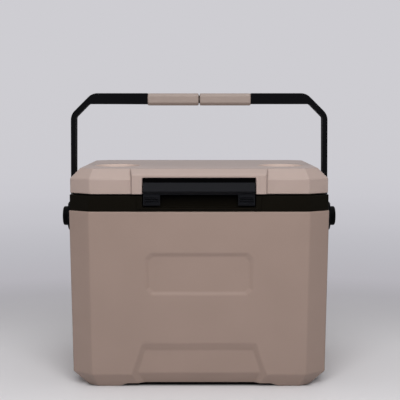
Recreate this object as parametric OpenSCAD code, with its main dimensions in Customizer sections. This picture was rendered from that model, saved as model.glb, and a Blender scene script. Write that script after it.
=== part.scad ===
// Hard-sided cooler chest with a hinged lid, a front latch and a swing-over bail handle.
// The origin lies on the floor under the middle of the chest. The front faces -Y, up is +Z.

/* [Body] */
// Width of the body at its top edge
body_w = 379; // [340:1:420]
// Depth of the body at its top edge
body_d = 262; // [240:1:300]
// Height of the body shell
body_h = 261; // [235:1:300]
// How far each wall leans in between the top edge and the floor
side_draft = 3; // [0:0.5:5]
// Cut of the upright corners along the front and back
corner_x = 30; // [22:1:36]
// Cut of the upright corners along the sides
corner_y = 19; // [14:1:24]
// Wall of the moulded outer shells
shell_t = 3; // [2.5:0.1:3.5]

/* [Base] */
// Inward run of the chamfer at the foot of the sides
foot_run_x = 24; // [14:1:28]
// Inward run of the chamfer at the foot of the front and back
foot_run_y = 12; // [6:1:16]
// Height of the chamfer at the foot of the walls
foot_rise = 20.7; // [16:0.1:26]
// Height of the underside above the floor between the feet
foot_lift = 4.6; // [3:0.1:9]
// Clear width between the left and right feet
foot_gap_x = 212; // [190:1:230]
// Clear depth between the front and back feet
foot_gap_y = 130; // [80:1:150]
// Lean of the inner ends of the feet
foot_slant = 11; // [2:0.5:14]
// Share of the upright corner cut that is left under the feet
foot_corner = 0.45; // [0.3:0.05:0.9]

/* [Panels] */
// Depth of the flared panels at the foot of the front and back
panel_depth = 5; // [2:0.5:8]
// Height of the flared panels above the floor
panel_top = 68.6; // [50:0.1:90]
// Height of the sloped ledge over each flared panel
panel_ledge = 12; // [5:1:16]
// Run of the sloped sides of each flared panel
panel_side = 8; // [2:0.5:12]
// Width of the flared panels at their top
panel_w = 167; // [130:1:190]
// Width of the label recess
label_w = 156; // [120:1:200]
// Height of the label recess
label_h = 62; // [40:1:80]
// Height of the middle of the label recess above the floor
label_z = 169.5; // [140:0.5:190]
// Depth of the label recess
label_depth = 3; // [1:0.5:5]
// Width of the sloped edge round the label recess
label_bevel = 5; // [2:0.5:8]
// Cut of the corners of the label recess
label_corner = 7; // [3:1:12]

/* [Inside] */
// Width of the cold space
cavity_w = 292; // [260:1:300]
// Depth of the cold space, front to back
cavity_d = 184; // [160:1:190]
// Height of the inside floor above the ground
cavity_floor = 46; // [35:1:60]
// Corner radius of the cold space
cavity_r = 26; // [12:1:40]
// Wall of the liner
liner_t = 2.5; // [2:0.1:3.5]
// Width of the flange round the mouth of the liner
liner_flange = 12; // [8:0.5:14]

/* [Collar] */
// Height of the collar round the mouth
collar_h = 23; // [20:1:30]
// How far the collar sits in from the body walls
collar_inset = 1; // [0:0.5:1.5]
// Wall of the collar
collar_t = 3; // [2.5:0.1:4]
// Length of the lip that locates the collar in the body shell
collar_lip = 6; // [3:1:10]
// Width of the raised pad behind the latch
pad_w = 179; // [172:1:186]
// How far the pad stands out from the collar
pad_proud = 2.5; // [1:0.5:3]
// Rim of the pad below the pocket
pad_rim = 2.5; // [1:0.5:5]
// Width of the pocket that takes the latch tabs
pocket_w = 162.8; // [160.8:0.1:168]
// Height of the pocket
pocket_h = 16.8; // [15.5:0.1:19]
// Depth of the pocket behind the pad
pocket_depth = 10; // [9:0.5:12]

/* [Lid] */
// Height of the lid
lid_h = 36; // [32:1:46]
// Seam between collar and lid
lid_seam = 2.4; // [1.5:0.1:4]
// How far the lid sits in from the body walls
lid_inset = 1.8; // [0.5:0.1:2]
// Run and rise of the slope round the top of the lid
lid_slope = 14.5; // [8:0.5:16]
// Depth of the plug that drops into the cold space
plug_depth = 18; // [8:1:26]
// Space between the plug and the liner
plug_gap = 4; // [3:0.5:8]
// Width of the gasket
gasket_w = 6; // [4:0.5:7]
// Width of the raised block above the latch
block_w = 193; // [186:1:210]
// How far the raised block stands out from the front of the lid
block_proud = 5.8; // [3:0.1:6.5]
// Height of the slope on top of the raised block
block_slope = 7.8; // [5:0.1:10]
// Flare of each side of the raised block from front to back
block_flare = 5; // [1:0.5:8]
// Height of the cut-out for the latch
cut_h = 23.7; // [22:0.1:26]
// Depth of the cut-out for the latch
cut_depth = 15; // [14.5:0.5:16]
// Thickness of the plate behind the latch
bed_t = 1.5; // [1:0.1:1.7]
// Diameter of the cup holders
cup_d = 70; // [60:1:76]
// Depth of the cup holders
cup_depth = 12; // [6:1:16]
// Distance from each end of the body to the middle of the cup holder
cup_end = 64.5; // [55.5:1:65.5]
// How far the cup holders sit in front of the middle
cup_y = 36; // [10:1:44]

/* [Latch] */
// Height of the latch bar
bar_face = 13.3; // [11:0.1:15]
// Height of the latch bar above the bottom of the lid
bar_rise = 3.6; // [2:0.1:5]
// Width of each latch tab
tab_w = 24; // [18:1:30]
// How far the tabs reach below the bottom of the lid
tab_drop = 16; // [14:0.5:17]
// Lean of the front of the latch bar
bar_lean = 4; // [1:0.5:5]
// How far the ribs of the tabs sit behind the front of the bar
tab_setback = 4; // [1:0.5:4.5]
// Thickness of the latch tabs
tab_t = 4.5; // [3:0.5:6]
// Number of grip ribs on each tab
rib_count = 5; // [3:1:7]
// Depth of the grip ribs
rib_depth = 1; // [0.5:0.1:1.5]
// Diameter of the latch pin
latch_pin_d = 4; // [3:0.5:5]
// Height of the snap lips on the tabs
snap_h = 3; // [2:0.5:4]

/* [Hinges] */
// How far the latch and the hinges reach past the front and back of the body
overhang = 8.5; // [8:0.1:10]
// Diameter of the hinge knuckles
knuckle_d = 8; // [7:0.1:8.4]
// Diameter of the hinge pins
hinge_pin_d = 4; // [3:0.1:4.5]
// Width of each hinge
hinge_w = 46; // [36:1:70]
// Distance from each end of the body to the middle of the hinge
hinge_end = 77.5; // [69.5:1:119.5]
// Thickness of the hinge leaves
leaf_t = 2.5; // [2:0.1:2.8]
// Height of each hinge leaf from the pin
leaf_h = 19; // [16:1:20]
// Shank diameter of the hinge screws
screw_d = 4; // [3:0.5:5]
// Length of the hinge screws
screw_len = 12; // [8:1:16]

/* [Handle] */
// Distance of the handle pivots below the top of the body
pivot_drop = 20.5; // [16:0.5:46]
// Space between the body wall and the handle eyes
eye_reach = 9; // [7:0.5:12]
// Height of the top of the handle above its pivots
bail_rise = 192.1; // [184.5:0.1:230]
// Thickness of the legs
bail_t = 7; // [5:0.5:8]
// Width of the handle strap, front to back
bail_w = 24; // [18:1:26]
// Height of the top bar
bail_bar_h = 16.8; // [14:0.1:20]
// How far the legs lean in between the eyes and the top
bail_lean = 1.8; // [0:0.1:4]
// Run of the sloped shoulders of the handle
bail_shoulder = 33; // [20:1:40]
// Thickness of the sloped shoulders
shoulder_t = 8; // [7:0.5:10]
// Corner radius of the shoulders
bail_round = 20; // [10:1:26]
// Diameter of the handle eyes
eye_d = 44.6; // [36:0.1:48]
// How far the legs step in above the eyes
eye_step = 4.7; // [2:0.1:5.5]
// Diameter of the journals that carry the handle
journal_d = 16; // [12:1:20]
// Thickness of the washers between hub and eye
washer_t = 1.2; // [0.8:0.1:2]
// Diameter of the pivot caps
cap_d = 30; // [24:1:34]
// Thickness of the pivot caps
cap_t = 8.2; // [6:0.1:10]
// Diameter of the pivot screws
pivot_screw_d = 5; // [4:0.5:6]
// Length of the pivot screws
pivot_screw_len = 26; // [20:1:30]
// Length of each grip
grip_len = 79; // [60:1:110]
// Seam between the two grips
grip_seam = 1.6; // [1:0.1:4]
// Height of the grips
grip_h = 18.6; // [17:0.1:22]
// Width of the grips
grip_w = 26; // [24:0.5:30]
// Wall of the grips
grip_t = 3; // [2:0.1:3.5]

/* [Fits] */
// Gap between parts that seat in one another
seat_gap = 0.3; // [0.2:0.05:0.4]
// Gap all round a pin or shaft in its bore
pin_gap = 0.15; // [0.1:0.05:0.25]

/* [Hidden] */
$fn = 64;

tan_plastic = [0.66, 0.58, 0.52];
black_plastic = [0.11, 0.10, 0.09];
liner_white = [0.88, 0.88, 0.85];
foam_cream = [0.93, 0.89, 0.72];
steel_grey = [0.6, 0.61, 0.62];
overlap = 1;

collar_top = body_h + collar_h;
collar_w = body_w - 2 * collar_inset;
collar_d = body_d - 2 * collar_inset;
lip_inset = shell_t - collar_inset + seat_gap;
pocket_z = collar_top - pocket_h;
pad_y = -collar_d / 2 - pad_proud;
pocket_y = pad_y + pocket_depth;

lid_z = collar_top + lid_seam;
lid_top = lid_z + lid_h;
lid_w = body_w - 2 * lid_inset;
lid_d = body_d - 2 * lid_inset;
block_y = -lid_d / 2 - block_proud;
block_run = 14;
cut_y = block_y + cut_depth;
cut_top = lid_z + cut_h;
cup_x = body_w / 2 - cup_end;

reach_y = body_d / 2 + overhang;
hinge_y = reach_y - knuckle_d / 2;
hinge_z = (collar_top + lid_z) / 2;
hinge_x = body_w / 2 - hinge_end;
third = hinge_w / 3;
hinge_screw_z = leaf_h - 6;
screw_head_d = 1.9 * screw_d;
screw_head_t = 0.4 * screw_d;

bar_z = lid_z + bar_rise;
bar_top = bar_z + bar_face;
latch_w = pocket_w - 2.8;
latch_pin_y = cut_y - 8;
bed_y = cut_y - seat_gap - bed_t;
peg_d = 4;
peg_len = 6;
peg_x = pocket_w / 3;
latch_pin_z = bar_z + bar_face / 2;
latch_pin_len = pocket_w + 16;
tab_y = -reach_y + tab_setback + rib_depth;
tab_z = lid_z - tab_drop;
snap_z = tab_z + 1;
keeper_reach = 5;
keeper_y = pocket_y - keeper_reach;
keeper_z = snap_z + snap_h + 1;
keeper_h = 4;

pivot_z = body_h - pivot_drop;
bail_top = pivot_z + bail_rise;
boss_x = body_w / 2;
eye_x = boss_x + eye_reach;
eye_out = eye_x + bail_t;
washer_x = eye_x - seat_gap - washer_t;
boss_end = washer_x - seat_gap;
cap_x = eye_out + seat_gap;
spigot_d = cap_d - 6;
spigot_len = 16;
cap_bevel = 1.5;
dish_depth = 2;
dish_rim = 4;
grip_z = bail_top - grip_h / 2 - 0.2;
core_w = grip_w - 2 * grip_t - 2 * seat_gap;
core_h = grip_h - 2 * grip_t - 2 * seat_gap;

// ---- shapes shared by several pieces ----

// Share of the corner cut that is left where every wall moves in by inset
corner_len = norm([corner_x, corner_y]);
function cut_share(inset) = 1 - inset * (corner_x + corner_y - corner_len) / (corner_x * corner_y);

// Outline of a rectangle with cut corners at height z, with a share of the full corner cut
function cut_corners(w, d, z, share = 1) =
    let (x = corner_x * share, y = corner_y * share) [
        [w / 2 - x, -d / 2, z], [w / 2, -d / 2 + y, z], [w / 2, d / 2 - y, z], [w / 2 - x, d / 2, z],
        [-w / 2 + x, d / 2, z], [-w / 2, d / 2 - y, z], [-w / 2, -d / 2 + y, z], [-w / 2 + x, -d / 2, z]
    ];

// Solid through outlines with cut corners, each [width, depth, height, share], from the bottom up
module stack(levels) {
    last = len(levels) - 1;
    points = [for (level = levels) each cut_corners(level[0], level[1], level[2], level[3])];
    walls = [for (i = [0 : last - 1], k = [0 : 7])
        [8 * i + k, 8 * i + 8 + k, 8 * i + 8 + (k + 1) % 8, 8 * i + (k + 1) % 8]];
    bottom = [for (k = [0 : 7]) k];
    top = [for (k = [7 : -1 : 0]) 8 * last + k];
    polyhedron(points, concat([bottom], walls, [top]));
}

// Upright prism with rounded corners between two heights
module rounded_prism(w, d, r, z0, z1) {
    translate([0, 0, z0])
        linear_extrude(z1 - z0) {
            square([w - 2 * r, d], center = true);
            square([w, d - 2 * r], center = true);
            for (x = [-1, 1], y = [-1, 1])
                translate([x * (w / 2 - r), y * (d / 2 - r)]) circle(r);
        }
}

// Block centred on x = 0 between two depths and two heights
module block(w, y0, y1, z0, z1) {
    translate([-w / 2, y0, z0]) cube([w, y1 - y0, z1 - z0]);
}

// Rod along X from one place to another, centred at y, z
module rod(d, x0, x1, y, z) {
    translate([x0, y, z]) rotate([0, 90, 0]) cylinder(d = d, h = x1 - x0);
}

// The same on the left and the right side
module both_sides() {
    children();
    mirror([1, 0, 0]) children();
}

// Points of an arc that rounds corner b between a and c
function unit(v) = v / norm(v);
function arc_at(a, b, c, r, steps = 6) =
    let (
        u = unit(a - b), v = unit(c - b), half = acos(u * v) / 2,
        centre = b + unit(u + v) * r / sin(half),
        from = b + u * r / tan(half) - centre, to = b + v * r / tan(half) - centre,
        start = atan2(from.y, from.x), turn = atan2(to.y, to.x) - start,
        sweep = turn > 180 ? turn - 360 : turn < -180 ? turn + 360 : turn
    )
    [for (i = [0 : steps]) centre + r * [cos(start + sweep * i / steps), sin(start + sweep * i / steps)]];

// ---- body ----

// Body form, each wall moved in by inset, from its underside at z0 up to z1, with its chamfer raised by lift
module body_form(inset, z0, z1 = body_h, lift = 0) {
    rise = foot_rise + lift;
    run = (rise - z0) / foot_rise;
    low = side_draft + inset;
    high = low - side_draft * (z1 - rise) / (body_h - rise);
    stack([
        [body_w - 2 * (low + foot_run_x * run), body_d - 2 * (low + foot_run_y * run), z0,
            1 - (1 - foot_corner) * run],
        [body_w - 2 * low, body_d - 2 * low, rise, 1],
        [body_w - 2 * high, body_d - 2 * high, z1, 1]
    ]);
}

// Recess with a flared outline at the foot of the front and back walls, for a wall that is grow thick
module panel_cuts(grow) {
    slant = panel_side / panel_depth;
    ledge = panel_ledge / panel_depth;
    flare = (foot_gap_x - panel_w) / 2 / panel_top;
    out = side_draft + overlap;
    low = panel_depth + overlap / 2;
    deep = panel_depth + foot_run_y + 4 * overlap;
    for (turn = [0, 180])
        rotate([0, 0, turn])
            difference() {
                hull()
                    for (side = [-1, 1], spot = [[-out, panel_top + out * ledge, grow],
                        [low + grow, panel_top - low * ledge, grow], [-out, 0, 0], [deep + grow, 0, 0]])
                        translate([
                            side * (panel_w / 2 + flare * (panel_top - spot[1]) - slant * spot[0] + (1 + slant) * grow),
                            spot[0] - body_d / 2 + side_draft * (1 - spot[1] / body_h), spot[1] + spot[2]])
                            cube(0.01, center = true);
                body_form(panel_depth + grow, foot_lift + grow, body_h, grow + 0.3 * panel_depth);
            }
}

// Clear space between the feet, with leaning ends
module foot_gaps() {
    for (turn = [0, 90]) {
        half = (turn ? foot_gap_y : foot_gap_x) / 2;
        rotate([0, 0, turn])
            rotate([90, 0, 0])
                linear_extrude(2 * body_w, center = true)
                    polygon([[-half, foot_lift], [half, foot_lift],
                        [half + foot_slant * (1 + overlap / foot_lift), -overlap],
                        [-half - foot_slant * (1 + overlap / foot_lift), -overlap]]);
    }
}

// Sloped recess for a label in the front wall, grown by grow
module label_form(grow) {
    face = -body_d / 2 + side_draft * (1 - label_z / body_h);
    hull() {
        for (step = [-1, 1]) {
            wide = step * label_bevel;
            translate([0, face + step * label_depth + (step > 0 ? grow : 0), label_z])
                rotate([90, 0, 0])
                    linear_extrude(0.01)
                        label_outline(label_w / 2 - wide + grow, label_h / 2 - wide + grow);
        }
    }
}

// Label outline with cut corners
module label_outline(half_w, half_h) {
    polygon([
        for (side = [-1, 1]) each [
            [side * half_w, side * (label_corner - half_h)], [side * half_w, side * (half_h - label_corner)],
            [side * (half_w - label_corner), side * half_h], [side * (label_corner - half_w), side * half_h]
        ]
    ]);
}

// Space inside the body shell up to z1, held gap away from its walls
module body_space(gap, z1) {
    wall = shell_t + gap;
    difference() {
        body_form(wall, foot_lift + wall, z1, wall);
        panel_cuts(wall);
        label_form(wall);
    }
}

// Holes for the spigots of the pivot bosses
module spigot_holes(gap) {
    both_sides() rod(spigot_d + 2 * gap, boss_x - spigot_len - gap, boss_x + overlap, 0, pivot_z);
}

module body_shell() {
    color(tan_plastic)
        difference() {
            body_form(0, 0);
            body_space(0, body_h + overlap);
            panel_cuts(0);
            label_form(0);
            foot_gaps();
            spigot_holes(seat_gap);
        }
}

module body_foam() {
    color(foam_cream)
        difference() {
            union() {
                body_space(seat_gap, body_h - collar_lip - seat_gap);
                collar_space(seat_gap);
            }
            liner_solid(seat_gap);
            spigot_holes(2 * seat_gap);
            hinge_screw_set(-1, 2 * seat_gap);
        }
}

// Outer form of the liner tub, grown by grow
module liner_solid(grow) {
    wall = liner_t + grow;
    rounded_prism(cavity_w + 2 * wall, cavity_d + 2 * wall, cavity_r + wall, cavity_floor - wall,
        collar_top + overlap);
}

module body_liner() {
    wide = 2 * (liner_t + liner_flange);
    color(liner_white)
        difference() {
            union() {
                rounded_prism(cavity_w + 2 * liner_t, cavity_d + 2 * liner_t, cavity_r + liner_t,
                    cavity_floor - liner_t, collar_top);
                rounded_prism(cavity_w + wide, cavity_d + wide, cavity_r + wide / 2,
                    collar_top - liner_t, collar_top);
            }
            rounded_prism(cavity_w, cavity_d, cavity_r, cavity_floor, collar_top + overlap);
        }
}

// Outline of the collar, moved in by inset
module collar_outline(inset) {
    points = cut_corners(collar_w - 2 * inset, collar_d - 2 * inset, 0);
    polygon([for (point = points) [point.x, point.y]]);
}

// Hollow under the collar, held gap away from its walls
module collar_space(gap) {
    wall = collar_t + gap;
    low = body_h - collar_lip - seat_gap - overlap;
    difference() {
        translate([0, 0, low])
            linear_extrude(collar_top - wall - low)
                collar_outline(lip_inset + wall);
        rounded_prism(cavity_w + 2 * (liner_t + wall), cavity_d + 2 * (liner_t + wall),
            cavity_r + liner_t + wall, low - overlap, collar_top);
        block(pocket_w + 2 * wall, pad_y, pocket_y + wall, pocket_z - wall, collar_top);
    }
}

// Small ramps in the pocket that the snap lips of the latch sit under
module keepers() {
    both_sides()
        translate([(latch_w - tab_w) / 2, 0, 0])
            block(tab_w / 2, keeper_y, pocket_y + overlap, keeper_z, keeper_z + keeper_h);
}

module rim_collar() {
    wide = 2 * (liner_t + liner_flange + seat_gap);
    color(black_plastic)
        difference() {
            union() {
                difference() {
                    union() {
                        translate([0, 0, body_h]) linear_extrude(collar_h) collar_outline(0);
                        translate([0, 0, body_h - collar_lip])
                            linear_extrude(collar_lip + overlap)
                                collar_outline(lip_inset);
                        block(pad_w, pad_y, -collar_d / 2 + overlap, pocket_z - pad_rim, collar_top);
                    }
                    block(pocket_w, pad_y - overlap, pocket_y, pocket_z, collar_top + overlap);
                }
                keepers();
            }
            collar_space(0);
            liner_solid(seat_gap);
            rounded_prism(cavity_w + wide, cavity_d + wide, cavity_r + wide / 2,
                collar_top - liner_t, collar_top + overlap);
            hinge_screw_set(-1, pin_gap);
        }
}

// ---- hinges ----

// Shanks of the hinge screws, below (side = -1) or above (side = 1) the pins
module hinge_screw_set(side, gap) {
    face = side > 0 ? lid_d / 2 : collar_d / 2;
    for (x = hinge_screw_places())
        translate([x, face + leaf_t, hinge_z + side * hinge_screw_z])
            rotate([90, 0, 0]) cylinder(d = screw_d + 2 * gap, h = screw_len + gap);
}

// Places of the two screws in each leaf along X
function hinge_screw_places() = [for (x = [-1, 1], s = [-1, 1]) x * hinge_x + s * third];

// Section of a leaf with its web, above the pin, against a wall at y = face
module leaf_section(face, web) {
    low = knuckle_d / 2 - 0.6;
    translate([face, low]) square([leaf_t, leaf_h - low]);
    if (web)
        polygon([
            [face + overlap, 1.7], [hinge_y, 0], [hinge_y, knuckle_d / 2],
            [face + leaf_t, knuckle_d + overlap], [face + overlap, knuckle_d + overlap]
        ]);
    if (web)
        translate([hinge_y, 0]) circle(d = knuckle_d);
}

// Leaf between two places along X, standing up or, with side = -1, hanging down
module leaf_strip(face, side, x0, x1, web) {
    translate([x0, 0, hinge_z])
        scale([1, 1, side])
            rotate([90, 0, 90])
                linear_extrude(x1 - x0) leaf_section(face, web);
}

// Leaf of the body, with the two outer knuckles
module base_leaf(x) {
    half = hinge_w / 2;
    color(black_plastic)
        difference() {
            union() {
                leaf_strip(collar_d / 2, -1, x - half, x + half, false);
                leaf_strip(collar_d / 2, -1, x - half, x - third / 2 - pin_gap, true);
                leaf_strip(collar_d / 2, -1, x + third / 2 + pin_gap, x + half, true);
            }
            rod(hinge_pin_d + 2 * pin_gap, x - hinge_w, x + hinge_w, hinge_y, hinge_z);
            hinge_screw_set(-1, pin_gap);
        }
}

// Leaf of the lid, with the middle knuckle
module lid_leaf(x) {
    half = hinge_w / 2;
    color(black_plastic)
        difference() {
            union() {
                leaf_strip(lid_d / 2, 1, x - half, x + half, false);
                leaf_strip(lid_d / 2, 1, x - third / 2 + pin_gap, x + third / 2 - pin_gap, true);
            }
            rod(hinge_pin_d + 2 * pin_gap, x - hinge_w, x + hinge_w, hinge_y, hinge_z);
            hinge_screw_set(1, pin_gap);
        }
}

// Pin with a low head at each end
module hinge_pin(x) {
    half = hinge_w / 2 + pin_gap;
    head = hinge_pin_d + 2;
    color(steel_grey) {
        rod(hinge_pin_d, x - half - overlap, x + half + overlap, hinge_y, hinge_z);
        for (side = [-1, 1])
            rod(head, x + side * (half + overlap / 2) - overlap / 2,
                x + side * (half + overlap / 2) + overlap / 2, hinge_y, hinge_z);
    }
}

module hinge_base_leaf_left() { base_leaf(-hinge_x); }
module hinge_base_leaf_right() { base_leaf(hinge_x); }
module hinge_lid_leaf_left() { lid_leaf(-hinge_x); }
module hinge_lid_leaf_right() { lid_leaf(hinge_x); }
module hinge_pin_left() { hinge_pin(-hinge_x); }
module hinge_pin_right() { hinge_pin(hinge_x); }

// Pan-head screws that hold the leaves
module hinge_screws(side) {
    face = (side > 0 ? lid_d : collar_d) / 2 + leaf_t;
    color(steel_grey)
        for (x = hinge_screw_places())
            translate([x, face, hinge_z + side * hinge_screw_z])
                rotate([90, 0, 0]) {
                    cylinder(d = screw_d, h = screw_len);
                    difference() {
                        translate([0, 0, -screw_head_t]) cylinder(d = screw_head_d, h = screw_head_t);
                        for (turn = [0, 90])
                            rotate([0, 0, turn])
                                translate([-0.3 * screw_head_d, -0.5, -screw_head_t - overlap])
                                    cube([0.6 * screw_head_d, 1, overlap + screw_head_t / 2]);
                    }
                }
}

module hinge_base_screws() { hinge_screws(-1); }
module hinge_lid_screws() { hinge_screws(1); }

// ---- handle pivots ----

// Hub on the right wall: a spigot that turns in the wall, a flange and a journal for the eye
module pivot_boss() {
    color(black_plastic)
        difference() {
            union() {
                rod(cap_d, boss_x, boss_end, 0, pivot_z);
                rod(spigot_d, boss_x - spigot_len, boss_x + overlap, 0, pivot_z);
                rod(journal_d, boss_end - overlap, cap_x, 0, pivot_z);
            }
            rod(pivot_screw_d + 2 * pin_gap, boss_x - spigot_len - overlap, cap_x + overlap, 0, pivot_z);
        }
}

// Round cap over the right eye, with a dished face
module pivot_cap() {
    dish_d = cap_d - 2 * dish_rim;
    color(black_plastic)
        difference() {
            union() {
                rod(cap_d, cap_x, cap_x + cap_t - cap_bevel, 0, pivot_z);
                translate([cap_x + cap_t - cap_bevel, 0, pivot_z])
                    rotate([0, 90, 0]) cylinder(d1 = cap_d, d2 = cap_d - 2 * cap_bevel, h = cap_bevel);
            }
            rod(dish_d, cap_x + cap_t - dish_depth, cap_x + cap_t + overlap, 0, pivot_z);
            rod(pivot_screw_d + 2 * pin_gap, cap_x - overlap, cap_x + cap_t, 0, pivot_z);
        }
}

module pivot_boss_left() { mirror([1, 0, 0]) pivot_boss(); }
module pivot_boss_right() { pivot_boss(); }
module pivot_cap_left() { mirror([1, 0, 0]) pivot_cap(); }
module pivot_cap_right() { pivot_cap(); }

// Screws that hold the caps, with a cross slot
module pivot_screws() {
    seat = cap_x + cap_t - dish_depth;
    head_d = 2 * pivot_screw_d;
    color(steel_grey)
        both_sides()
            difference() {
                union() {
                    rod(pivot_screw_d, seat - pivot_screw_len, seat + overlap, 0, pivot_z);
                    rod(head_d, seat, seat + 1.8, 0, pivot_z);
                }
                for (turn = [0, 90])
                    translate([seat + overlap, 0, pivot_z])
                        rotate([turn, 0, 0])
                            translate([0, -0.3 * head_d, -0.6]) cube([2, 0.6 * head_d, 1.2]);
            }
}

// Thin washer between the flange of the hub and the eye
module washer() {
    color(black_plastic)
        difference() {
            rod(cap_d, washer_x, washer_x + washer_t, 0, pivot_z);
            rod(journal_d + 2 * seat_gap, washer_x - overlap, eye_x, 0, pivot_z);
        }
}

module pivot_washer_left() { mirror([1, 0, 0]) washer(); }
module pivot_washer_right() { washer(); }

// ---- handle ----

// Right half of the strap seen from the front: leg, shoulder and half of the top bar
module strap_outline() {
    foot_x = eye_out - eye_step;
    foot_z = pivot_z + eye_d / 2;
    lean = bail_lean / (bail_top - foot_z);
    top_x = foot_x - bail_lean;
    shoulder_z = bail_top - bail_shoulder;
    bar_low = bail_top - bail_bar_h;
    inner_top_x = top_x - bail_t;
    inner_z = shoulder_z + bail_t - shoulder_t * sqrt(2);
    inner_x = inner_top_x - (bar_low - inner_z);
    outer = [[foot_x, foot_z], [top_x + lean * bail_shoulder, shoulder_z],
        [top_x - bail_shoulder, bail_top], [0, bail_top]];
    inner = [[0, bar_low], [inner_x, bar_low], [inner_top_x, inner_z], [foot_x - bail_t, foot_z]];
    polygon([
        each arc_at(outer[0], outer[1], outer[2], bail_round),
        each arc_at(outer[1], outer[2], outer[3], bail_round),
        outer[3], inner[0],
        each arc_at(inner[0], inner[1], inner[2], bail_round / 4),
        each arc_at(inner[1], inner[2], inner[3], bail_round / 4),
        inner[3], [foot_x - bail_t, foot_z - overlap],
        [eye_x, foot_z - eye_step - overlap], [eye_x, pivot_z], [eye_out, pivot_z],
        [eye_out, foot_z - eye_step], [foot_x, foot_z]
    ]);
}

// Recess all round the bar under the grips
module grip_seat() {
    half = grip_len + grip_seam / 2 + seat_gap;
    difference() {
        block(2 * half, -bail_w, bail_w, bail_top - 2 * bail_bar_h, bail_top + bail_bar_h);
        block(3 * half, -core_w / 2, core_w / 2, grip_z - core_h / 2, grip_z + core_h / 2);
    }
}

module handle_bail() {
    color(black_plastic)
        difference() {
            union() {
                difference() {
                    both_sides()
                        translate([0, bail_w / 2, 0])
                            rotate([90, 0, 0]) linear_extrude(bail_w) strap_outline();
                    grip_seat();
                }
                both_sides() rod(eye_d, eye_x, eye_out, 0, pivot_z);
            }
            both_sides() rod(journal_d + 2 * seat_gap, eye_x - overlap, eye_out + overlap, 0, pivot_z);
        }
}

// Sleeve on the bar from x0 to x1, open along the bottom so that it snaps on
module grip(x0, x1) {
    slot = 0.4 * grip_w;
    cut = 4;
    color(tan_plastic)
        difference() {
            translate([x0, 0, grip_z])
                rotate([90, 0, 90])
                    linear_extrude(x1 - x0)
                        difference() {
                            polygon([
                                for (side = [-1, 1]) each [
                                    [side * grip_w / 2, side * (cut - grip_h / 2)],
                                    [side * grip_w / 2, side * (grip_h / 2 - cut)],
                                    [side * (grip_w / 2 - cut), side * grip_h / 2],
                                    [side * (cut - grip_w / 2), side * grip_h / 2]
                                ]
                            ]);
                            square([core_w + 2 * seat_gap, core_h + 2 * seat_gap], center = true);
                        }
            block(3 * grip_len, -slot / 2, slot / 2, grip_z - grip_h, grip_z - core_h / 2 + seat_gap);
        }
}

module grip_left() { grip(-grip_seam / 2 - grip_len, -grip_seam / 2); }
module grip_right() { grip(grip_seam / 2, grip_seam / 2 + grip_len); }

// ---- lid ----

// Lid form, each wall moved in by inset, from z0 up
module lid_form(inset, z0) {
    eave = lid_top - lid_slope - inset * 0.4;
    ridge = lid_top - inset;
    top = inset + ridge - eave;
    stack([
        [lid_w - 2 * inset, lid_d - 2 * inset, z0, cut_share(inset)],
        [lid_w - 2 * inset, lid_d - 2 * inset, eave, cut_share(inset)],
        [lid_w - 2 * top, lid_d - 2 * top, ridge, cut_share(top)]
    ]);
}

// Raised block over the latch
module block_form() {
    top_y = block_y + block_run;
    back_y = -lid_d / 2 + lid_slope + 2;
    hull() {
        block(block_w, block_y, block_y + 0.01, lid_z, lid_top - block_slope);
        block(block_w + block_flare, top_y, back_y, lid_z, lid_top);
    }
}

// Room for the latch, grown by grow
module latch_room(grow) {
    block(pocket_w + 2 * grow, block_y - overlap, cut_y + grow, lid_z - overlap, cut_top + grow);
}

// Pegs that hold the latch bed in the back of the latch room, grown by grow
module bed_pegs(grow) {
    for (side = [-1, 1])
        translate([side * peg_x, cut_y + peg_len + grow, (cut_top + lid_z) / 2])
            rotate([90, 0, 0]) cylinder(d = peg_d + 2 * grow, h = peg_len + overlap + grow);
}

// Space inside the lid shell, held gap away from its walls
module lid_space(gap) {
    wall = shell_t + gap;
    difference() {
        lid_form(wall, lid_z - overlap);
        latch_room(wall);
        cups(wall);
        for (side = [-1, 1])
            rod(latch_pin_d + 2 * wall, side > 0 ? pocket_w / 2 : -latch_pin_len / 2 - wall,
                side > 0 ? latch_pin_len / 2 + wall : -pocket_w / 2, latch_pin_y, latch_pin_z);
    }
}

// Cup holders in the top of the lid, grown by grow
module cups(grow) {
    for (side = [-1, 1])
        translate([side * cup_x, -cup_y, lid_top - cup_depth - grow])
            cylinder(d = cup_d + 2 * grow, h = cup_depth + grow + overlap);
}

module lid_shell() {
    color(tan_plastic)
        difference() {
            union() {
                lid_form(0, lid_z);
                block_form();
            }
            lid_space(0);
            latch_room(0);
            cups(0);
            rod(latch_pin_d + 2 * pin_gap, -latch_pin_len / 2 - pin_gap, latch_pin_len / 2 + pin_gap,
                latch_pin_y, latch_pin_z);
            bed_pegs(pin_gap);
            hinge_screw_set(1, pin_gap);
        }
}

module lid_foam() {
    color(foam_cream)
        difference() {
            lid_space(seat_gap);
            block(body_w, -body_d, body_d, lid_z - 2 * overlap, lid_z + liner_t + seat_gap);
            bed_pegs(2 * seat_gap);
            hinge_screw_set(1, 2 * seat_gap);
        }
}

module lid_liner() {
    plug_w = cavity_w - 2 * plug_gap;
    plug_d = cavity_d - 2 * plug_gap;
    inset = shell_t + seat_gap;
    color(liner_white)
        difference() {
            union() {
                difference() {
                    intersection() {
                        lid_form(inset, lid_z);
                        block(body_w, -body_d, body_d, lid_z, lid_z + liner_t);
                    }
                    latch_room(inset);
                }
                rounded_prism(plug_w, plug_d, cavity_r - plug_gap, lid_z - plug_depth, lid_z + overlap);
            }
            rounded_prism(plug_w - 2 * liner_t, plug_d - 2 * liner_t, cavity_r - plug_gap - liner_t,
                lid_z - plug_depth + liner_t, lid_z + liner_t + overlap);
        }
}

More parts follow.
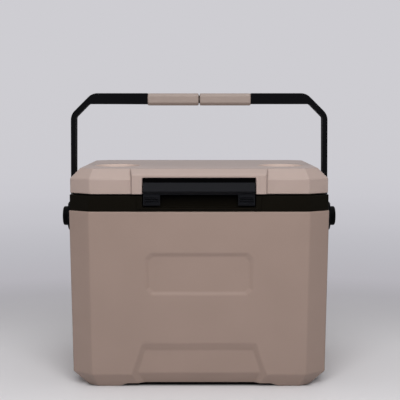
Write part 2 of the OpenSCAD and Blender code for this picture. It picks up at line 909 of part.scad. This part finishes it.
// Soft ring under the lid that closes on the flange of the liner
module lid_gasket() {
    middle = liner_t + liner_flange / 2;
    inner = middle - gasket_w / 2;
    outer = middle + gasket_w / 2;
    color([0.2, 0.2, 0.2])
        difference() {
            rounded_prism(cavity_w + 2 * outer, cavity_d + 2 * outer, cavity_r + outer,
                collar_top + seat_gap, lid_z);
            rounded_prism(cavity_w + 2 * inner, cavity_d + 2 * inner, cavity_r + inner,
                collar_top, lid_z + overlap);
        }
}

// ---- latch ----

module latch_pin() {
    color(steel_grey)
        rod(latch_pin_d, -latch_pin_len / 2, latch_pin_len / 2, latch_pin_y, latch_pin_z);
}

// Dark plate behind the latch, held by two pegs in the lid
module latch_bed() {
    color(black_plastic)
        union() {
            block(pocket_w - 2 * seat_gap, bed_y, bed_y + bed_t, lid_z + seat_gap, cut_top - seat_gap);
            bed_pegs(0);
        }
}

// Section of the latch bar: a leaning front face, a round back about the pin and a thin lower web
module bar_section() {
    front = -reach_y;
    cut = 1;
    web_y = latch_pin_y - 1;
    translate([latch_pin_y, latch_pin_z]) circle(d = latch_pin_d + 6);
    polygon([
        [front + bar_lean + cut, bar_top], [latch_pin_y, bar_top - 1.6], [latch_pin_y, bar_z],
        [web_y, lid_z - 1], [tab_y + 1, lid_z - 1], [front + cut, bar_z], [front, bar_z + cut],
        [front + bar_lean, bar_top - cut]
    ]);
}

// Grip tab with ribs in front and a snap lip behind, centred on x = 0
module latch_tab() {
    rib_pitch = (lid_z - tab_z - 4) / rib_count;
    block(tab_w, tab_y, tab_y + tab_t, tab_z, bar_z);
    for (i = [0 : rib_count - 1])
        block(tab_w - 4, tab_y - rib_depth, tab_y + overlap, tab_z + 2 + i * rib_pitch,
            tab_z + 2 + (i + 0.5) * rib_pitch);
    block(tab_w / 2, tab_y + tab_t - overlap, keeper_y - seat_gap, snap_z, snap_z + snap_h);
}

module latch_lever() {
    color(black_plastic)
        difference() {
            union() {
                translate([-latch_w / 2, 0, 0])
                    rotate([90, 0, 90]) linear_extrude(latch_w) bar_section();
                for (side = [-1, 1])
                    translate([side * (latch_w - tab_w) / 2, 0, 0]) latch_tab();
            }
            rod(latch_pin_d + 2 * pin_gap, -latch_w, latch_w, latch_pin_y, latch_pin_z);
        }
}

body_shell();
body_foam();
body_liner();
rim_collar();
hinge_base_leaf_left();
hinge_base_leaf_right();
hinge_pin_left();
hinge_pin_right();
hinge_base_screws();
pivot_boss_left();
pivot_boss_right();
pivot_cap_left();
pivot_cap_right();
pivot_screws();
lid_shell();
lid_foam();
lid_liner();
lid_gasket();
hinge_lid_leaf_left();
hinge_lid_leaf_right();
hinge_lid_screws();
latch_bed();
latch_pin();
latch_lever();
pivot_washer_left();
pivot_washer_right();
handle_bail();
grip_left();
grip_right();
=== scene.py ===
import math

import bmesh
import bpy
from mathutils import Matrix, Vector

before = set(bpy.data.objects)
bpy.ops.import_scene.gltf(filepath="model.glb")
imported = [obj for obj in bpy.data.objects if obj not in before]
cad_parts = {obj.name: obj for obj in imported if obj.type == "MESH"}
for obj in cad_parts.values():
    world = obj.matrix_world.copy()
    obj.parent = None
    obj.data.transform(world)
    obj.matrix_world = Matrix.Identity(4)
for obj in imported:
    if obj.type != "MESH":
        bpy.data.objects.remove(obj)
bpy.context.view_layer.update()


# ---- Studio: camera, backdrop and lamps ----
# The chest stands on a pale seamless sweep, seen from just above the lid through a long lens.
# Soft lamps light it from in front, from overhead and weakly from behind.

def srgb(code):
    """Turn an sRGB hex value such as "b3a198" into linear RGBA."""
    parts = [int(code[i:i + 2], 16) / 255 for i in (0, 2, 4)]
    return [c / 12.92 if c <= 0.04045 else ((c + 0.055) / 1.055) ** 2.4 for c in parts] + [1.0]


def add_node(tree, kind, inputs=None, **settings):
    """Add a node, set its properties, and fill or link its inputs."""
    made = tree.nodes.new(kind)
    for name, value in settings.items():
        setattr(made, name, value)
    for name, value in (inputs or {}).items():
        if isinstance(value, bpy.types.NodeSocket):
            tree.links.new(value, made.inputs[name])
        else:
            made.inputs[name].default_value = value
    return made


def new_material(name):
    """Start a material with its Principled shader, and return both with the node tree."""
    material = bpy.data.materials.new(name)
    material.use_nodes = True
    return material, material.node_tree, material.node_tree.nodes["Principled BSDF"]


# The camera stands level with the bail and is pitched a little down.
MM = 0.001
camera_height = 403.5 * MM
camera_y = -1410.4 * MM
camera_x = 1.3 * MM
camera_pitch = math.radians(5.6)
camera_lens = 80.73
camera = bpy.data.objects.new("camera", bpy.data.cameras.new("camera"))
camera.data.sensor_width = 36.0
camera.data.lens = camera_lens
camera.location = (camera_x, camera_y, camera_height)
camera.rotation_euler = (math.pi / 2 - camera_pitch, 0.0, 0.0)
bpy.context.scene.collection.objects.link(camera)
bpy.context.scene.camera = camera
bpy.context.scene.view_settings.view_transform = "Standard"

# The sweep is a floor that rises in one curve far behind the chest. The floor round the chest is lit
# by the lamps and takes its shadow. Further out it melts into the even tone of the paper beyond,
# which the camera and reflections see at the tones of the photograph.
sweep_half_width = 6.0
sweep_front = -4.0
sweep_back = 4.0
sweep_radius = 1.5
sweep_height = 5.0
sweep_mesh = bpy.data.meshes.new("sweep")
shape = bmesh.new()
bend = [math.radians(a) for a in range(0, 91, 6)]
profile = [(sweep_front, 0.0)]
profile += [(sweep_back + sweep_radius * math.sin(a), sweep_radius * (1 - math.cos(a))) for a in bend]
profile += [(sweep_back + sweep_radius, sweep_height)]
rows = [[shape.verts.new((x, y, z)) for x in (-sweep_half_width, sweep_half_width)] for y, z in profile]
for low, high in zip(rows, rows[1:]):
    shape.faces.new((low[0], low[1], high[1], high[0])).smooth = True
shape.to_mesh(sweep_mesh)
shape.free()
sweep = bpy.data.objects.new("sweep", sweep_mesh)
bpy.context.scene.collection.objects.link(sweep)


def seen_directly(tree):
    """Give 1 for rays from the camera, mirrors and clear things, and 0 for rays that light the scene."""
    ray = add_node(tree, "ShaderNodeLightPath")
    seen = add_node(tree, "ShaderNodeMath", {
        0: ray.outputs["Is Camera Ray"], 1: ray.outputs["Is Glossy Ray"]}, operation="MAXIMUM")
    seen = add_node(tree, "ShaderNodeMath", {
        0: seen.outputs["Value"], 1: ray.outputs["Is Transmission Ray"]}, operation="MAXIMUM")
    return seen.outputs["Value"]


# The paper beyond glows in rings round a point in front of the chest, at shares of ring_reach, with painted
# shade: darker near the chest, paler further out.
near_tone = "aaa8ac"
far_tone = "cecdd2"
ring_centre = (0.0, -0.6, 0.0)
ring_reach = 6.0
ring_start = 0.16
painted_shade_rings = ((0.20, "acaaaf"), (0.235, "b6b4ba"), (0.30, "bbbac0"), (0.42, "c4c3c9"), (0.60, "cac9cf"))
lit_floor_end = 0.75
plain_tone_start = 1.35
# Matt seamless paper: no sheen at all, so the floor shows only the soft shadow of the chest.
paper, tree, shader = new_material("matt_background_paper")
place = add_node(tree, "ShaderNodeNewGeometry").outputs["Position"]
away = add_node(tree, "ShaderNodeVectorMath", {0: place, 1: ring_centre}, operation="DISTANCE")
reach = away.outputs["Value"]
share = add_node(tree, "ShaderNodeMapRange", {"Value": reach, "From Min": 0.0, "From Max": ring_reach})
tone = add_node(tree, "ShaderNodeValToRGB", {"Fac": share.outputs["Result"]})
tone.color_ramp.elements[0].color = srgb(near_tone)
tone.color_ramp.elements[0].position = ring_start
tone.color_ramp.elements[1].color = srgb(far_tone)
for where, code in painted_shade_rings:
    tone.color_ramp.elements.new(where).color = srgb(code)
glow = add_node(tree, "ShaderNodeEmission", {"Color": tone.outputs["Color"], "Strength": 1.0})
far = add_node(tree, "ShaderNodeMapRange", {
    "Value": reach, "From Min": lit_floor_end, "From Max": plain_tone_start},
    interpolation_type="SMOOTHSTEP")
blend = add_node(tree, "ShaderNodeMath", {
    0: seen_directly(tree), 1: far.outputs["Result"]}, operation="MULTIPLY")
mix = add_node(tree, "ShaderNodeMixShader", {
    "Fac": blend.outputs["Value"], 1: shader.outputs["BSDF"], 2: glow.outputs["Emission"]})
tree.links.new(mix.outputs["Shader"], tree.nodes["Material Output"].inputs["Surface"])

# Towards the front lamps, below the picture, the paper is greyer, so it doesn't burn out in other views.
paper_pale = "e2e0e2"
paper_grey = "b9b7ba"
grey_start = -250 * MM
grey_full = -600 * MM
depth = add_node(tree, "ShaderNodeSeparateXYZ", {"Vector": place}).outputs["Y"]
front = add_node(tree, "ShaderNodeMapRange", {
    "Value": depth, "From Min": grey_start, "From Max": grey_full}, interpolation_type="SMOOTHSTEP")
base = add_node(tree, "ShaderNodeMix", data_type="RGBA")
base.inputs["A"].default_value = srgb(paper_pale)
base.inputs["B"].default_value = srgb(paper_grey)
tree.links.new(front.outputs["Result"], base.inputs["Factor"])

# Under the chest, between its feet, the paper is painted black: a painted shadow that draws a thin black line
# where no light gets in.
painted_shadow_black = "161516"
under_side = 172 * MM
under_side_black = 155 * MM
under_front = 119 * MM
under_front_black = 106 * MM
half = add_node(tree, "ShaderNodeVectorMath", {0: place}, operation="ABSOLUTE")
beside = add_node(tree, "ShaderNodeSeparateXYZ", {"Vector": half.outputs["Vector"]})
under_x = add_node(tree, "ShaderNodeMapRange", {
    "Value": beside.outputs["X"], "From Min": under_side, "From Max": under_side_black},
    interpolation_type="SMOOTHSTEP")
under_y = add_node(tree, "ShaderNodeMapRange", {
    "Value": beside.outputs["Y"], "From Min": under_front, "From Max": under_front_black},
    interpolation_type="SMOOTHSTEP")
under = add_node(tree, "ShaderNodeMath", {
    0: under_x.outputs["Result"], 1: under_y.outputs["Result"]}, operation="MULTIPLY")
painted_shade_mix = add_node(tree, "ShaderNodeMix", data_type="RGBA")
painted_shade_mix.inputs["B"].default_value = srgb(painted_shadow_black)
tree.links.new(under.outputs["Value"], painted_shade_mix.inputs["Factor"])
tree.links.new(base.outputs["Result"], painted_shade_mix.inputs["A"])
tree.links.new(painted_shade_mix.outputs["Result"], shader.inputs["Base Color"])
shader.inputs["Roughness"].default_value = 0.9
shader.inputs["Specular IOR Level"].default_value = 0.2
sweep_mesh.materials.append(paper)


def add_softbox(name, place, aim, size, power, mirrored=True):
    """Add a rectangular area lamp that looks at a point. Lengths are in metres, power in watts.

    A lamp that isn't mirrored lights a surface without showing in its gloss.
    """
    lamp = bpy.data.objects.new(name, bpy.data.lights.new(name, "AREA"))
    lamp.data.shape = "RECTANGLE"
    lamp.data.size, lamp.data.size_y = size
    lamp.data.energy = power
    lamp.location = place
    lamp.visible_glossy = mirrored
    lamp.rotation_euler = (Vector(aim) - Vector(place)).to_track_quat("-Z", "Y").to_euler()
    bpy.context.scene.collection.objects.link(lamp)


# The small key and the lamp overhead give gloss its highlights. The wide key and the lamp behind aren't
# mirrored, because their glare would turn the lid's top white when it is seen from the back.
add_softbox(
    "key_softbox", place=(0.02, -0.85, 1.15), aim=(0.0, 0.0, 0.25), size=(0.6, 0.3), power=3.2)
add_softbox(
    "key_spread", place=(0.02, -1.05, 0.7), aim=(0.0, 0.0, 0.22), size=(1.0, 0.5), power=8.3,
    mirrored=False)
add_softbox(
    "top_softbox", place=(0.0, 0.1, 2.2), aim=(0.0, 0.0, 0.2), size=(1.8, 1.4), power=9.6)
add_softbox(
    "rear_softbox", place=(0.0, 2.0, 1.5), aim=(0.0, 0.1, 0.15), size=(2.0, 1.2), power=4.5,
    mirrored=False)

# The air gives every side a little light, and shows the camera and reflections the paper's far tone.
world = bpy.data.worlds.new("studio_air")
world.use_nodes = True
tree = world.node_tree
fill = tree.nodes["Background"]
fill.inputs["Color"].default_value = srgb("e6e7ea")
fill.inputs["Strength"].default_value = 0.3
beyond = add_node(tree, "ShaderNodeBackground", {"Color": srgb(far_tone), "Strength": 1.0})
mix = add_node(tree, "ShaderNodeMixShader", {
    "Fac": seen_directly(tree), 1: fill.outputs["Background"], 2: beyond.outputs["Background"]})
tree.links.new(mix.outputs["Shader"], tree.nodes["World Output"].inputs["Surface"])
bpy.context.scene.world = world


# ---- Body shell ----
# One injection-moulded tub of tan high-density polyethylene with cut corners and four feet.
# The tool has a fine spark-eroded texture, and the thick walls sink very slightly as they cool.

def dress(name, material, edge_mm, sharp_deg=24, segments=3, clamp=True):
    """Give a CAD node its material and the rounded edges that its mould leaves.

    Flat faces are joined first, so that only edges sharper than sharp_deg are rounded. With clamp off,
    one short edge doesn't shrink the rounding of the whole piece. An edge_mm of 0 rounds nothing.
    """
    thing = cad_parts[name]
    thing.data.materials.clear()
    thing.data.materials.append(material)
    if edge_mm:
        weld = thing.modifiers.new("weld", "WELD")
        weld.merge_threshold = 0.01 * MM
        flats = thing.modifiers.new("flats", "DECIMATE")
        flats.decimate_type = "DISSOLVE"
        flats.angle_limit = math.radians(0.5)
        edges = thing.modifiers.new("edges", "BEVEL")
        edges.width = edge_mm * MM
        edges.segments = segments
        edges.limit_method = "ANGLE"
        edges.angle_limit = math.radians(sharp_deg)
        edges.miter_outer = "MITER_ARC"
        edges.use_clamp_overlap = clamp
        seams = thing.modifiers.new("seams", "WELD")
        seams.merge_threshold = 0.005 * MM
        normals = thing.modifiers.new("normals", "WEIGHTED_NORMAL")
        normals.keep_sharp = True


def moulded_plastic(name, code, dark_code, roughness, grain_mm, grain_depth_mm, sheen=0.5, soft_mm=0.4):
    """Injection-moulded plastic: fine tool texture, slight sink waves and faint tonal drift.

    soft_mm is the radius by which the shading rounds an edge beyond the rounding of its mesh.
    """
    drift_size = 70 * MM
    sink_size = 55 * MM
    sink_depth = 0.5 * MM
    gloss_spread = 0.06
    material, tree, shader = new_material(name)
    spot = add_node(tree, "ShaderNodeTexCoord").outputs["Object"]
    drift = add_node(tree, "ShaderNodeTexNoise", {"Vector": spot, "Scale": 1 / drift_size, "Detail": 3.0})
    tone = add_node(tree, "ShaderNodeMix", data_type="RGBA")
    tone.inputs["A"].default_value = srgb(code)
    tone.inputs["B"].default_value = srgb(dark_code)
    tree.links.new(drift.outputs["Fac"], tone.inputs["Factor"])
    tree.links.new(tone.outputs["Result"], shader.inputs["Base Color"])
    grain = add_node(tree, "ShaderNodeTexNoise", {
        "Vector": spot, "Scale": 1 / (grain_mm * MM), "Detail": 2.0})
    gloss = add_node(tree, "ShaderNodeMapRange", {
        "Value": grain.outputs["Fac"],
        "To Min": roughness - gloss_spread, "To Max": roughness + gloss_spread})
    tree.links.new(gloss.outputs["Result"], shader.inputs["Roughness"])
    turn = add_node(tree, "ShaderNodeBevel", {"Radius": soft_mm * MM}, samples=8)
    fine = add_node(tree, "ShaderNodeBump", {
        "Height": grain.outputs["Fac"], "Distance": grain_depth_mm * MM, "Strength": 1.0,
        "Normal": turn.outputs["Normal"]})
    sink = add_node(tree, "ShaderNodeTexNoise", {"Vector": spot, "Scale": 1 / sink_size, "Detail": 1.0})
    waves = add_node(tree, "ShaderNodeBump", {
        "Height": sink.outputs["Fac"], "Distance": sink_depth, "Strength": 1.0,
        "Normal": fine.outputs["Normal"]})
    tree.links.new(waves.outputs["Normal"], shader.inputs["Normal"])
    shader.inputs["Specular IOR Level"].default_value = sheen
    return material


# Spark-eroded tan polyethylene: a soft even warmth over the walls, with a pale line where an edge turns.
# The grain is drawn coarser than the real texture, about 1 mm instead of 0.2 mm, to hold in the render.
tan_polyethylene = moulded_plastic(
    "textured_tan_polyethylene", "937f75", "8b786e",
    roughness=0.5, grain_mm=1.1, grain_depth_mm=0.05, sheen=0.45, soft_mm=3.0)
dress("body_shell", tan_polyethylene, edge_mm=1.4, sharp_deg=20, clamp=False)


# ---- Foam and liner ----
# The hollow between shell and liner is filled with cream polyurethane foam, which sticks to both.
# The liner is a deep white food-safe tub with a flange that lies in the collar.

# Rigid foam: dry and matt, with open cells that show as small dents where it is cut.
polyurethane_foam = moulded_plastic(
    "cream_polyurethane_foam", "eee8cf", "e4dcbb",
    roughness=0.9, grain_mm=1.4, grain_depth_mm=0.3)
dress("body_foam", polyurethane_foam, edge_mm=0)
# Smooth white polyethylene: a clean wall with a broad soft sheen that shows the depth of the tub.
white_liner = moulded_plastic(
    "white_moulded_liner", "e9e8e2", "dfded7",
    roughness=0.38, grain_mm=0.9, grain_depth_mm=0.015)
dress("body_liner", white_liner, edge_mm=1.5)


# ---- Rim collar ----
# A brown-black polypropylene ring with a lip that sits in the mouth of the shell. It carries the hinges
# and frames the latch. Its satin faces catch little light, and painted shade keeps the ramps in the pocket
# almost black.

# Satin black polypropylene with a brown cast: a calm dark band that parts the lid from the body.
# Painted shade darkens its colour and its sheen up into the pocket, where the lever keeps it in shade.
collar_sheen = 0.05
pocket_half = 81.4 * MM
pocket_low = 268.0 * MM
pocket_high = 285.0 * MM
painted_pocket_darkest = 0.1
black_polypropylene = moulded_plastic(
    "satin_black_polypropylene", "0e0b06", "0b0905",
    roughness=0.45, grain_mm=0.8, grain_depth_mm=0.02, sheen=collar_sheen)
tree = black_polypropylene.node_tree
shader = tree.nodes["Principled BSDF"]
spot = add_node(tree, "ShaderNodeTexCoord").outputs["Object"]
spot = add_node(tree, "ShaderNodeSeparateXYZ", {"Vector": spot})
across = add_node(tree, "ShaderNodeMath", {0: spot.outputs["X"]}, operation="ABSOLUTE")
inside = add_node(tree, "ShaderNodeMath", {0: across.outputs["Value"], 1: pocket_half}, operation="LESS_THAN")
pocket_painted_shade = add_node(tree, "ShaderNodeMapRange", {
    "Value": spot.outputs["Z"], "From Min": pocket_low, "From Max": pocket_high,
    "To Min": 1.0, "To Max": painted_pocket_darkest})
share = add_node(tree, "ShaderNodeMix", {
    "Factor": inside.outputs["Value"], "A": 1.0, "B": pocket_painted_shade.outputs["Result"]})
tone = shader.inputs["Base Color"].links[0].from_socket
painted_shade_mix = add_node(tree, "ShaderNodeMix", data_type="RGBA")
painted_shade_mix.inputs["A"].default_value = srgb("000000")
tree.links.new(share.outputs["Result"], painted_shade_mix.inputs["Factor"])
tree.links.new(tone, painted_shade_mix.inputs["B"])
tree.links.new(painted_shade_mix.outputs["Result"], shader.inputs["Base Color"])
# The painted shade in the pocket also dims the sheen there.
sheen = add_node(tree, "ShaderNodeMath", {0: share.outputs["Result"], 1: collar_sheen}, operation="MULTIPLY")
tree.links.new(sheen.outputs["Value"], shader.inputs["Specular IOR Level"])
dress("rim_collar", black_polypropylene, edge_mm=0.8, clamp=False)


# ---- Hinges ----
# Each has two black nylon leaves with interlocked knuckles on a zinc-plated steel pin.
# Four pan-head steel screws hold each hinge.

# Black glass-filled nylon: deep black with a dull sheen, so hinges and pivots read as plain dark shapes.
black_nylon = moulded_plastic(
    "black_moulded_nylon", "070708", "050506",
    roughness=0.4, grain_mm=0.7, grain_depth_mm=0.015, sheen=0.03)


def treated_steel(name, code, mottle_mm, detail, smooth, rough):
    """Steel with a plated or blackened skin, whose roughness wavers between two values in fine mottles."""
    material, tree, shader = new_material(name)
    spot = add_node(tree, "ShaderNodeTexCoord").outputs["Object"]
    mottle = add_node(tree, "ShaderNodeTexNoise", {
        "Vector": spot, "Scale": 1 / (mottle_mm * MM), "Detail": detail})
    gloss = add_node(tree, "ShaderNodeMapRange", {
        "Value": mottle.outputs["Fac"], "To Min": smooth, "To Max": rough})
    tree.links.new(gloss.outputs["Result"], shader.inputs["Roughness"])
    shader.inputs["Base Color"].default_value = srgb(code)
    shader.inputs["Metallic"].default_value = 1.0
    return material


# Bright zinc plate: a cool grey glint on pins and screw heads, mottled by its fine spangle.
zinc_steel = treated_steel(
    "zinc_plated_steel", "b9bcc0", mottle_mm=1.5, detail=4.0, smooth=0.22, rough=0.42)
for side in ("left", "right"):
    dress(f"hinge_base_leaf_{side}", black_nylon, edge_mm=0.5, segments=2)
    dress(f"hinge_lid_leaf_{side}", black_nylon, edge_mm=0.5, segments=2)
    dress(f"hinge_pin_{side}", zinc_steel, edge_mm=0.3, segments=2)
dress("hinge_base_screws", zinc_steel, edge_mm=0.2, segments=2)
dress("hinge_lid_screws", zinc_steel, edge_mm=0.2, segments=2)


# ---- Handle pivots ----
# A black nylon hub turns in each side wall: a boss with its spigot in the wall, a thin washer and a cap.
# The eye of the bail turns on the boss, and one steel screw holds the cap on it.

for side in ("left", "right"):
    dress(f"pivot_boss_{side}", black_nylon, edge_mm=0.8, segments=2)
    dress(f"pivot_washer_{side}", black_nylon, edge_mm=0.2, segments=2)
    dress(f"pivot_cap_{side}", black_nylon, edge_mm=0.8)
dress("pivot_screws", zinc_steel, edge_mm=0.25, segments=2)


# ---- Lid ----
# A tan polyethylene cap with sloped edges, two cup holders and a raised block over the latch.
# Foam fills it, and a white liner with a shallow plug closes it from below.

# The same plastic from a smoother tool: a shade paler than the body, with crisp light along its creases.
lid_polyethylene = moulded_plastic(
    "paler_tan_lid_polyethylene", "a6948c", "9f8d85",
    roughness=0.42, grain_mm=1.1, grain_depth_mm=0.05, sheen=0.45)
# The walls of the cup holders are painted paler, a painted highlight for their lit far walls.
# They are the surface above cup_floor and within cup_edge of the middle of a holder.
cup_x = 125.0 * MM
cup_y = -36.0 * MM
cup_edge = 35.6 * MM
cup_floor = 311.2 * MM
tree = lid_polyethylene.node_tree
shader = tree.nodes["Principled BSDF"]
spot = add_node(tree, "ShaderNodeTexCoord").outputs["Object"]
half = add_node(tree, "ShaderNodeVectorMath", {0: spot}, operation="ABSOLUTE")
half = add_node(tree, "ShaderNodeSeparateXYZ", {"Vector": half.outputs["Vector"]})
spot = add_node(tree, "ShaderNodeSeparateXYZ", {"Vector": spot})
flat = add_node(tree, "ShaderNodeCombineXYZ", {"X": half.outputs["X"], "Y": spot.outputs["Y"]})
away = add_node(tree, "ShaderNodeVectorMath", {
    0: flat.outputs["Vector"], 1: (cup_x, cup_y, 0.0)}, operation="DISTANCE")
near = add_node(tree, "ShaderNodeMath", {0: away.outputs["Value"], 1: cup_edge}, operation="LESS_THAN")
above = add_node(tree, "ShaderNodeMath", {0: spot.outputs["Z"], 1: cup_floor}, operation="GREATER_THAN")
wall = add_node(tree, "ShaderNodeMath", {
    0: near.outputs["Value"], 1: above.outputs["Value"]}, operation="MULTIPLY")
tone = shader.inputs["Base Color"].links[0].from_socket
painted_highlight_walls = add_node(tree, "ShaderNodeMix", data_type="RGBA")
painted_highlight_walls.inputs["B"].default_value = srgb("cbb8ae")
tree.links.new(wall.outputs["Value"], painted_highlight_walls.inputs["Factor"])
tree.links.new(tone, painted_highlight_walls.inputs["A"])
tree.links.new(painted_highlight_walls.outputs["Result"], shader.inputs["Base Color"])
dress("lid_shell", lid_polyethylene, edge_mm=1.4, clamp=False)
dress("lid_foam", polyurethane_foam, edge_mm=0)
dress("lid_liner", white_liner, edge_mm=1.5)

# Soft foamed rubber: a quiet dark grey line without gloss that seals the liner against the tub.
gasket_rubber = moulded_plastic(
    "dark_grey_gasket_rubber", "2b2b2c", "222223",
    roughness=0.7, grain_mm=0.9, grain_depth_mm=0.03)
dress("lid_gasket", gasket_rubber, edge_mm=0.5, segments=2)


# ---- Latch ----
# One lever of blue-black nylon across the front, turning on a blackened steel pin in the lid's block.
# Two tabs with ribs for the fingers hang into the collar's pocket, and a black plate behind the bar is
# painted shade for the gap above it.

# Satin blue-black nylon: its leaning face is the one black face that catches light and shows cool.
latch_nylon = moulded_plastic(
    "blue_black_latch_nylon", "0e0f13", "0c0d10",
    roughness=0.40, grain_mm=0.8, grain_depth_mm=0.02, sheen=0.11)
# Black-oxide steel: a dark oiled skin, so the ends of the pin vanish in the gaps beside the bar.
black_steel = treated_steel(
    "black_oxide_steel", "161617", mottle_mm=2.0, detail=3.0, smooth=0.35, rough=0.55)
dress("latch_pin", black_steel, edge_mm=0.3, segments=2)
# The latch bed is a black sheet put behind the bar as painted shade, where the gap above the bar lies in
# shadow.
dress("latch_bed", black_nylon, edge_mm=0.4, segments=2)
dress("latch_lever", latch_nylon, edge_mm=0.6, segments=2)


# ---- Bail handle and grips ----
# A flat polypropylene strap bent up and over, with an eye at each end.
# Two tan sleeves snap on the waist of its top bar.

# Neutral black polypropylene: a flat dark outline against the paper, with no glare down its sides.
bail_polypropylene = moulded_plastic(
    "neutral_black_polypropylene", "111113", "0e0e10",
    roughness=0.6, grain_mm=0.8, grain_depth_mm=0.02, sheen=0.015)
dress("handle_bail", bail_polypropylene, edge_mm=0.9, sharp_deg=50, clamp=False)
# Smooth tan plastic: a little cleaner than the walls, with a soft light along its rounded top.
grip_plastic = moulded_plastic(
    "smooth_tan_grip_plastic", "978880", "91827a",
    roughness=0.45, grain_mm=0.9, grain_depth_mm=0.03)
for side in ("left", "right"):
    dress(f"grip_{side}", grip_plastic, edge_mm=2.0)
